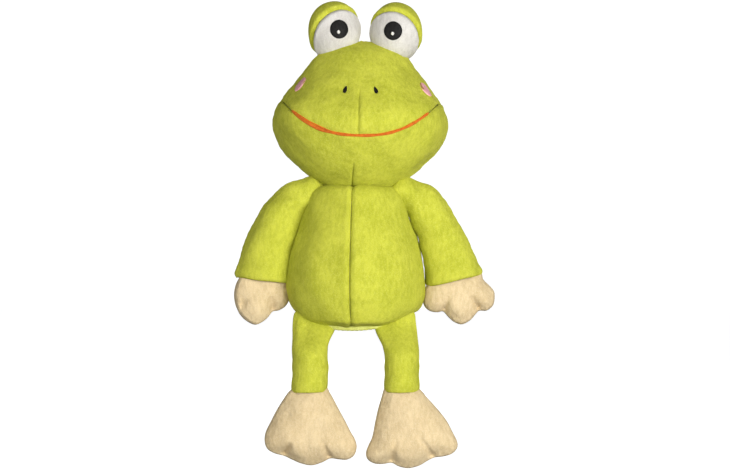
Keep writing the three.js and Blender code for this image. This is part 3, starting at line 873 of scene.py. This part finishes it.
def face_stitches(hit):
    for name, out in SIDES:
        centre = lean(np.array([[out * NOSTRIL_AT[0], -60.0, NOSTRIL_AT[1]]]))[0]
        sample = disc_sampler(centre, (1.9, 2.9), AWAY, out * 0.35, 0.5)
        piece = embroider(
            f"nostril_{name}_stitches", hit, sample, (36, 9), AWAY, BLACK_THREAD, 0.9,
            lambda u, w: 0.9 + 0.15 * math.sin(u * 44),
        )
        set_on(piece, "head", f"nostril_{name}")
        way = Vector((-out * 0.62, 0.55, -0.55)).normalized()
        cheek_out, cheek_up = CHEEK_AT[name]
        centre = lean(np.array([[out * cheek_out, -25.0, cheek_up]]))[0]
        sample = disc_sampler(centre, (4.6, 6.8), way, out * 0.15)
        rows, columns = 60, 15
        piece = embroider(
            f"cheek_{name}_stitches", hit, sample, (rows, columns), tuple(way), PINK_THREAD, 0.75,
            lambda u, w: 0.9 + 0.16 * math.sin(u * 15 * 7 + 0.8 * w),
        )
        piece.data.materials.append(BROWN_THREAD)
        middle = sum(face.center.z for face in piece.data.polygons) / len(piece.data.polygons)
        for face in piece.data.polygons[: (rows - 1) * (columns - 1)]:
            row, column = divmod(face.index, columns - 1)
            rim = min(row, rows - 2 - row) < 5 or min(column, columns - 2 - column) < 2
            if rim and face.center.z > middle:
                face.material_index = 1
        set_on(piece, "head", f"cheek_{name}_patch")


# ---- eyes ----
def eye_points(facing, polar, around, centre, grow=0.0):
    """Points of an eye ball, measured from the pole that its white faces."""
    pole = Vector(facing).normalized()
    side = pole.cross(Vector((0, 0, 1))).normalized()
    up = side.cross(pole)
    unit = (
        np.cos(polar)[..., None] * np.array(pole)
        + (np.sin(polar) * np.cos(around))[..., None] * np.array(side)
        + (np.sin(polar) * np.sin(around))[..., None] * np.array(up)
    )
    return unit * (np.array(EYE_HALF) + grow) + np.array(centre)


def eye_cloth(name, out):
    centre = (out * EYE_OUT[name], EYE_Y, EYE_Z)
    around = circle(110)
    made = {}
    for part, low, high, material, slot in (
        ("white", 0.004, LID_SPLIT - 0.003, WHITE, "white_plush"),
        ("lid", LID_SPLIT + 0.003, 0.996, LIME, "lime_plush"),
    ):
        polar = np.linspace(low * math.pi, high * math.pi, 60)
        a, p = np.meshgrid(around, polar, indexing="ij")
        grid = eye_points(LID_SEAM[name], p, a, centre)
        normal = grid_normals(grid, True)
        outward = 1 if float(((grid - np.array(centre)) * normal).sum()) > 0 else -1
        edge = "v1" if part == "white" else "v0"
        grid = dress(grid, (edge,), 41 + out, 0.22, outward, True)
        piece = cloth_piece(f"eye_{name}_{part}_cloth", lean(grid), material, outward, 1.2, True)
        set_on(piece, "head", f"eye_{name}_{part}_panel")
        made[part] = piece
    hit = surface_of(made["white"])
    px, pz = PUPIL_AT[name]
    at = lean(np.array([[centre[0] + px, -40.0, centre[2] + pz]]))[0]
    sample = disc_sampler(at, (PUPIL_RADIUS, PUPIL_RADIUS * 1.03), AWAY)
    pupil = embroider(
        f"eye_{name}_pupil_stitches", hit, sample, (90, 31), AWAY, BLACK_THREAD, 0.8,
        lambda u, w: 0.94 + 0.06 * math.sin(w * 42 + 2 * math.sin(u * 9)),
    )
    set_on(pupil, "head", f"eye_{name}_pupil")
    at = at + np.array([-0.4, 0, -2.3])
    sample = disc_sampler(at, (1.25, 1.4), AWAY)
    glint = embroider(
        f"eye_{name}_glint_stitches", surface_of(pupil), sample, (18, 9), AWAY, WHITE_THREAD, 1.1,
        lambda u, w: 0.9 + 0.12 * math.sin(u * 30),
    )
    set_on(glint, "head", f"eye_{name}_glint")


# ---- arms and legs ----
def arm_frame(side, out, along):
    """Centre and direction of the arm at a share of its length, as arrays."""
    a, b, c = (np.array([out * x, ARM_Y, z], float) for x, z in ARM_CURVE[side])
    t = np.linspace(0, 1, 200)[:, None]
    line = (1 - t) ** 2 * a + 2 * t * (1 - t) * b + t**2 * c
    slope = 2 * (1 - t) * (b - a) + 2 * t * (c - b)
    slope /= np.linalg.norm(slope, axis=1, keepdims=True)
    run = run_along(line, 0)
    at = np.clip(along, 0, 1) * run[-1]
    centre = np.stack([np.interp(at, run, line[:, k]) for k in range(3)], -1)
    tangent = np.stack([np.interp(at, run, slope[:, k]) for k in range(3)], -1)
    return centre, tangent


def sleeve_cloth(name, out):
    line = even(ARM_PROFILE, 100)
    radius, s = line[:, 0], line[:, 1]
    along = s / ARM_LENGTH
    centre, tangent = arm_frame(name, out, along)
    centre = centre + tangent * (s - np.clip(along, 0, 1) * ARM_LENGTH)[:, None]
    across = np.stack([-tangent[:, 2], np.zeros(len(s)), tangent[:, 0]], -1)
    flat = 1 + (ARM_FLAT - 1) * ease(np.clip(along, 0, 1))
    outward = -1
    cuff_at = s[-1]
    for half, start in (("front", math.pi), ("back", 0.0)):
        angles = np.linspace(start + 0.006, start + math.pi - 0.006, 76)
        reach = (np.cos(angles)[:, None] * radius)[..., None]
        grid = centre + reach * across
        grid[..., 1] += np.sin(angles)[:, None] * radius * flat
        hang = ramp(s, 5, 25)
        tuck = bell(s + 8, 12)
        grid[..., 0] -= out * (ARM_TUCK[name] * tuck + ARM_CLOSE[name] * hang)
        shoulder_folds = 0.9 * bell(s - 4, 11) * np.sin(np.cos(angles)[:, None] * 5 + s / 4.2 + out)
        inner = np.clip(-np.cos(angles)[:, None] * out, 0, 1)
        elbow_folds = 0.8 * inner * bell(s - 34, 12) * np.sin(s / 3.4 + 2 * out)
        cuff = 0.25 * bell(s - cuff_at + 3.5, 2.5) - 0.9 * bell(s - cuff_at, 1.6)
        move = shoulder_folds + elbow_folds + cuff
        grid = grid + grid_normals(grid) * outward * move[..., None]
        grid = dress(grid, ("u0", "u1"), 51 + out + len(half), 0.55, outward)
        piece = cloth_piece(f"arm_{name}_sleeve_{half}_cloth", grid, LIME, outward)
        set_on(piece, f"arm_{name}", f"arm_{name}_sleeve_{half}_panel")


def leg_tube(line, angles, out, lumps):
    """Points of a leg's tube, flattened and set back where it is sewn under the hem."""
    radius, height = line[:, 0], line[:, 1]
    rise = ease(ramp(height, -22, 32))
    flare = ease(ramp(height, -14, 16))
    inner = np.clip(-out * np.cos(angles), 0, 1)[:, None]
    top_in = LEG_TOP_IN["left" if out > 0 else "right"]
    x = out * (LEG_X - top_in * rise) + np.cos(angles)[:, None] * radius * (1 + 0.05 * rise)
    x -= out * LEG_FLARE * inner * flare
    y = LEG_Y + LEG_TOP_BACK * rise + np.sin(angles)[:, None] * radius * (1 - LEG_TOP_FLAT * rise)
    grid = np.stack([x, y, np.broadcast_to(height, x.shape)], -1)
    folds = 0.5 * bell(height - 1, 8) * np.sin(angles * 7 + out)[:, None]
    ring = 0.35 * bell(height + 30, 9) * np.sin(height / 2.6)
    back_seam = -0.9 * bell((angles[:, None] - math.pi / 2) * LEG_RADIUS, SEAM_WIDTH)
    move = folds + ring + back_seam + lumps * wobble(grid, 13, 61 + out)
    return grid - grid_normals(grid, True) * move[..., None]


def leg_cloth(name, out):
    """A plain stuffed tube, pulled in at the ankle and sewn flat under the hem."""
    angles = circle(110)
    bodies = ("torso", f"leg_{name}")
    bend = ((out * LEG_X, LEG_Y, 6), (out * LEG_X, LEG_Y, -22))
    skin = leg_tube(even(LEG_LINE, 90), angles, out, 0.45)
    piece = cloth_piece(f"leg_{name}_cloth", skin, LIME, -1, CLOTH, True)
    bend_between(piece, bodies, *bend, "lime_plush", f"leg_{name}_skin")
    grid = leg_tube(even(LEG_CORE_LINE, 60), angles[::2], out, 0.6)
    faces = sheet_faces(*grid.shape[:2], True, 0, True)
    piece = mesh_object(f"leg_{name}_fibre", grid.reshape(-1, 3), faces, FIBRE)
    bend_between(piece, bodies, *bend, "fibre_fill", f"leg_{name}_stuffing")


# ---- hands and feet ----
def inflate(points, faces):
    """A closed bag puffed up by Blender's cloth with pressure inside, as a tree for ray casts."""
    mesh = bpy.data.meshes.new("bag")
    mesh.from_pydata((points * SIM_SCALE).tolist(), [], faces)
    bag = add_object("bag", mesh)
    remesh(bag, SIM_VOXEL * SIM_SCALE)
    start = np.array([v.co for v in bag.data.vertices])
    polygons = [list(face.vertices) for face in bag.data.polygons]
    cloth = bag.modifiers.new("cloth", "CLOTH")
    cloth.point_cache.frame_start, cloth.point_cache.frame_end = 1, SIM_FRAMES
    cloth.settings.quality = 6
    cloth.settings.use_pressure = True
    cloth.settings.uniform_pressure_force = SIM_PRESSURE
    cloth.settings.effector_weights.gravity = 0
    for number in range(1, SIM_FRAMES + 1):
        bpy.context.scene.frame_set(number)
    settled = evaluated(bag).to_mesh()
    moved = np.array([v.co for v in settled.vertices]) - start
    moved[:, (0, 2)] *= SIM_SPREAD
    length = np.linalg.norm(moved, axis=1, keepdims=True)
    moved *= np.minimum(1, SIM_CAP * SIM_SCALE / np.maximum(length, 1e-9))
    bpy.context.scene.frame_set(1)
    bpy.data.objects.remove(bag)
    return BVHTree.FromPolygons((start + moved).tolist(), polygons)


def puffed_heights(flat, height, distance):
    """How high the cloth of a bag stands over each point of its flat pattern once it is stuffed."""
    thin = [np.stack([flat[..., 0], sign * height * SIM_START, flat[..., 1]], -1) for sign in (-1, 1)]
    points = np.vstack([half.reshape(-1, 3) for half in thin])
    tree = inflate(points, double_faces(*flat.shape[:2], True))
    found = []
    for sign in (-1, 1):
        high = np.zeros(flat.shape[:2])
        for i, j in np.ndindex(high.shape):
            start = Vector((flat[i, j, 0], sign * 60, flat[i, j, 1])) * SIM_SCALE
            place = tree.ray_cast(start, Vector((0, -sign, 0)))[0]
            high[i, j] = 0 if place is None else sign * place.y / SIM_SCALE
        edge = bell(distance, BAG_EDGE)
        found.append(np.maximum(high, 0) * (1 - edge) + height * edge)
    return found


def away_from(points, line):
    """Distance of each point to a line of points, and how far along the line that is."""
    best = np.full(points.shape[:-1], 1e9)
    where = np.zeros(points.shape[:-1])
    run = 0.0
    for a, b in zip(line[:-1], line[1:]):
        step = b - a
        length = max(float(np.linalg.norm(step)), 1e-6)
        t = np.clip(((points - a) @ step) / length**2, 0, 1)
        far = np.linalg.norm(points - (a + t[..., None] * step), axis=-1)
        where = np.where(far < best, run + t * length, where)
        best = np.minimum(best, far)
        run += length
    return best, where


def bag(name, kind, out, outline, centre, thick, creases, neck_thick, place, nodes, bodies, bend):
    """A stuffed flat bag of two panels sewn round a drawn outline, for a hand or a foot."""
    edge = even([(out * x, z) for x, z in outline], 150, closed=True)
    middle = np.array([out * centre[0], centre[1]], float)
    rings = 1 - np.linspace(0, 1, 46) ** 1.25
    flat = middle + (edge - middle)[:, None, :] * rings[None, :, None]
    distance, along = away_from(flat, np.vstack([edge, edge[:1]]))
    fall = ramp(distance, 0, 0.9 * thick)
    height = thick * np.sqrt(np.maximum(1 - (1 - fall) ** 2, 0))
    tall = ramp(flat[..., 1], -14, 18)
    height *= 1 + (neck_thick / thick - 1) * tall
    stuffed = puffed_heights(flat, height, distance)
    detail = np.zeros_like(height)
    for crease in creases:
        start, end = (np.array([out * x, z]) for x, z in crease)
        line = catmull([start, (start + end) / 2, end], 9)
        near, run = away_from(flat, line)
        length = run_along(line, 0)[-1]
        fade = (1 - ramp(run, 0, length)) ** 0.6
        detail -= CREASE[0] * bell(near, CREASE[1]) * fade * ramp(distance, 0, 3)
    pucker = 0.5 * np.sin(along * FULL_TURN / 6.2 + 1.6 * np.sin(along / 9)) * np.exp(-distance / 5)
    detail += pucker * ramp(distance, 0, 1.2)
    heights = [np.maximum(side + detail, 0) for side in stuffed]
    for half, sign, node, high in zip(("front", "back"), (-1, 1), nodes, heights):
        grid = np.stack([flat[..., 0], sign * (high + 0.12), flat[..., 1]], -1)
        grid[..., 1] += sign * 0.55 * wobble(grid, 11, 97 + out * 2 + sign) * ramp(distance, 0, 5)
        normal = grid_normals(grid, True)
        outward = 1 if float((normal[..., 1] * sign).sum()) > 0 else -1
        piece = cloth_piece(f"{kind}_{name}_{half}_cloth", place(grid), CREAM, outward, 1.2, True)
        bend_between(piece, bodies, *bend, "cream_plush", node)
    core = middle + (flat - middle) * CORE_SHARE
    halves = []
    for sign, high in zip((-1, 1), heights):
        deep = np.maximum(high - CORE_UNDER, 0)
        deep[:, 0] = 0
        lumps = 1 + 0.05 * wobble(np.stack([core[..., 0], core[..., 1], deep], -1), 7, 5)
        halves.append(np.stack([core[..., 0], sign * deep * lumps, core[..., 1]], -1))
    points = np.vstack([place(half).reshape(-1, 3) for half in halves])
    piece = mesh_object(f"{kind}_{name}_fibre", points, double_faces(*flat.shape[:2], True), FIBRE)
    bend_between(piece, bodies, *bend, "fibre_fill", nodes[2])


def hand_cloth(name, out):
    wrist, _ = arm_frame(name, out, np.array([1.0]))
    wrist = wrist[0] - np.array([out * HAND_SHIFT[name], 0, 0])
    turn = np.array(Matrix.Rotation(HAND_TWIST[name], 3, "Z"))

    def place(grid):
        return grid @ turn.T + wrist

    nodes = (f"hand_{name}_back_panel", f"hand_{name}_palm_panel", f"hand_{name}_stuffing")
    bodies = (f"arm_{name}", f"hand_{name}")
    bend = (tuple(wrist + np.array([0, 0, 4])), tuple(wrist + np.array([0, 0, -9])))
    outline, creases = HAND_OUTLINE[name], HAND_CREASES[name]
    bag(name, "hand", out, outline, (2, -9), HAND_THICK, creases, 13.0, place, nodes, bodies, bend)


def foot_cloth(name, out):
    ankle = np.array([out * LEG_X, LEG_Y, ANKLE_Z])
    nodes = (f"foot_{name}_top_panel", f"foot_{name}_sole_panel", f"foot_{name}_stuffing")
    bodies = (f"leg_{name}", f"foot_{name}")
    bend = (tuple(ankle + np.array([0, 0, 4])), tuple(ankle + np.array([0, 0, -10])))
    bag(
        name, "foot", out, FOOT_OUTLINE[name], FOOT_CENTRE[name], FOOT_THICK, FOOT_CREASES[name], 11.5,
        lambda grid: grid + ankle, nodes, bodies, bend,
    )


# ---- stuffing ----
def stuffing():
    """Each core of fibre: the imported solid, remeshed and made lumpy inside its own walls."""
    for node, source in frame["nodes"].items():
        drawn_already = node.startswith(("leg", "hand", "foot"))
        if drawn_already or not node.endswith(("stuffing", "padding")):
            continue
        piece = source.copy()
        piece.data = source.data.copy()
        piece.name = node.replace("stuffing", "fibre").replace("padding", "fibre")
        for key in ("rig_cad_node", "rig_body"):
            if key in piece:
                del piece[key]
        piece.parent = None
        bpy.context.scene.collection.objects.link(piece)
        body = source["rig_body"]
        small = len(source.data.vertices) < 400
        remesh(piece, FIBRE_VOXEL["small" if small else "large"] * MM, 3)
        shape = piece.data
        points = np.array([v.co for v in shape.vertices]) / MM
        if node == "torso_padding":
            low = ramp(14 - points[:, 2], 0, 10)
            points[:, 2] += hem_rise(points) + 2.0 * low
            points[:, :2] *= (1 - 0.03 * low)[:, None]
        normals = np.array([v.normal for v in shape.vertices])
        depth = -0.9 + 0.4 * wobble(points, 6, 7) + 0.15 * wobble(points, 2.6, 8)
        shape.vertices.foreach_set("co", ((points + normals * depth[:, None]) * MM).ravel())
        shape.polygons.foreach_set("use_smooth", [True] * len(shape.polygons))
        shape.materials.clear()
        shape.materials.append(FIBRE)
        set_on(piece, body, node)


# ---- stage, light and camera ----
def stage():
    """The white floor, which throws no light on the puppet."""
    half = FLOOR_SIZE / 2
    corners = [(-half, -half, 0), (half, -half, 0), (half, half, 0), (-half, half, 0)]
    mesh = bpy.data.meshes.new("floor")
    mesh.from_pydata(corners, [], [(0, 1, 2, 3)])
    material = bpy.data.materials.new("floor")
    material.use_nodes = True
    shader = material.node_tree.nodes["Principled BSDF"]
    shader.inputs["Base Color"].default_value = (0.35, 0.35, 0.35, 1)
    shader.inputs["Roughness"].default_value = 0.9
    shader.inputs["Emission Color"].default_value = (1, 1, 1, 1)
    shader.inputs["Emission Strength"].default_value = 0.95
    mesh.materials.append(material)
    floor = add_object("floor", mesh)
    floor.location = (0, 0, FLOOR_Z)
    floor.visible_diffuse = False


def light():
    world = bpy.data.worlds.new("studio")
    world.use_nodes = True
    tree = world.node_tree
    lit = tree.nodes["Background"]
    lit.inputs["Color"].default_value = (1, 1, 1, 1)
    lit.inputs["Strength"].default_value = 0.14
    seen = tree.nodes.new("ShaderNodeBackground")
    seen.inputs["Strength"].default_value = 1.35
    path = tree.nodes.new("ShaderNodeLightPath")
    choose = tree.nodes.new("ShaderNodeMixShader")
    tree.links.new(path.outputs["Is Camera Ray"], choose.inputs["Fac"])
    tree.links.new(lit.outputs["Background"], choose.inputs[1])
    tree.links.new(seen.outputs["Background"], choose.inputs[2])
    tree.links.new(choose.outputs["Shader"], tree.nodes["World Output"].inputs["Surface"])
    bpy.context.scene.world = world
    for name, place, size, power in LIGHTS:
        lamp = bpy.data.lights.new(name, "AREA")
        lamp.size = size
        lamp.energy = power
        thing = add_object(name, lamp)
        thing.location = place
        aim = Vector((0, 0, 0.08)) - Vector(place)
        thing.rotation_euler = aim.to_track_quat("-Z", "Y").to_euler()


def camera():
    data = bpy.data.cameras.new("camera")
    data.sensor_width = 36
    data.lens = data.sensor_width * CAMERA_AWAY / VIEW_WIDTH
    thing = add_object("camera", data)
    thing.location = (CAMERA_X, -CAMERA_AWAY, CAMERA_Z)
    thing.rotation_euler = (math.pi / 2, 0, 0)
    bpy.context.scene.camera = thing


torso_panels()
hem_band()
lining_cloth()
neck_cloth()
head = head_cloth()
finger_tube()
on_head = surface_of(head["face"], head["chin"])
mouth_stitches(on_head)
face_stitches(on_head)
for side_name, side_out in SIDES:
    eye_cloth(side_name, side_out)
    sleeve_cloth(side_name, side_out)
    hand_cloth(side_name, side_out)
    leg_cloth(side_name, side_out)
    foot_cloth(side_name, side_out)
stuffing()
stage()
light()
camera()
bpy.context.scene.view_settings.view_transform = "Standard"
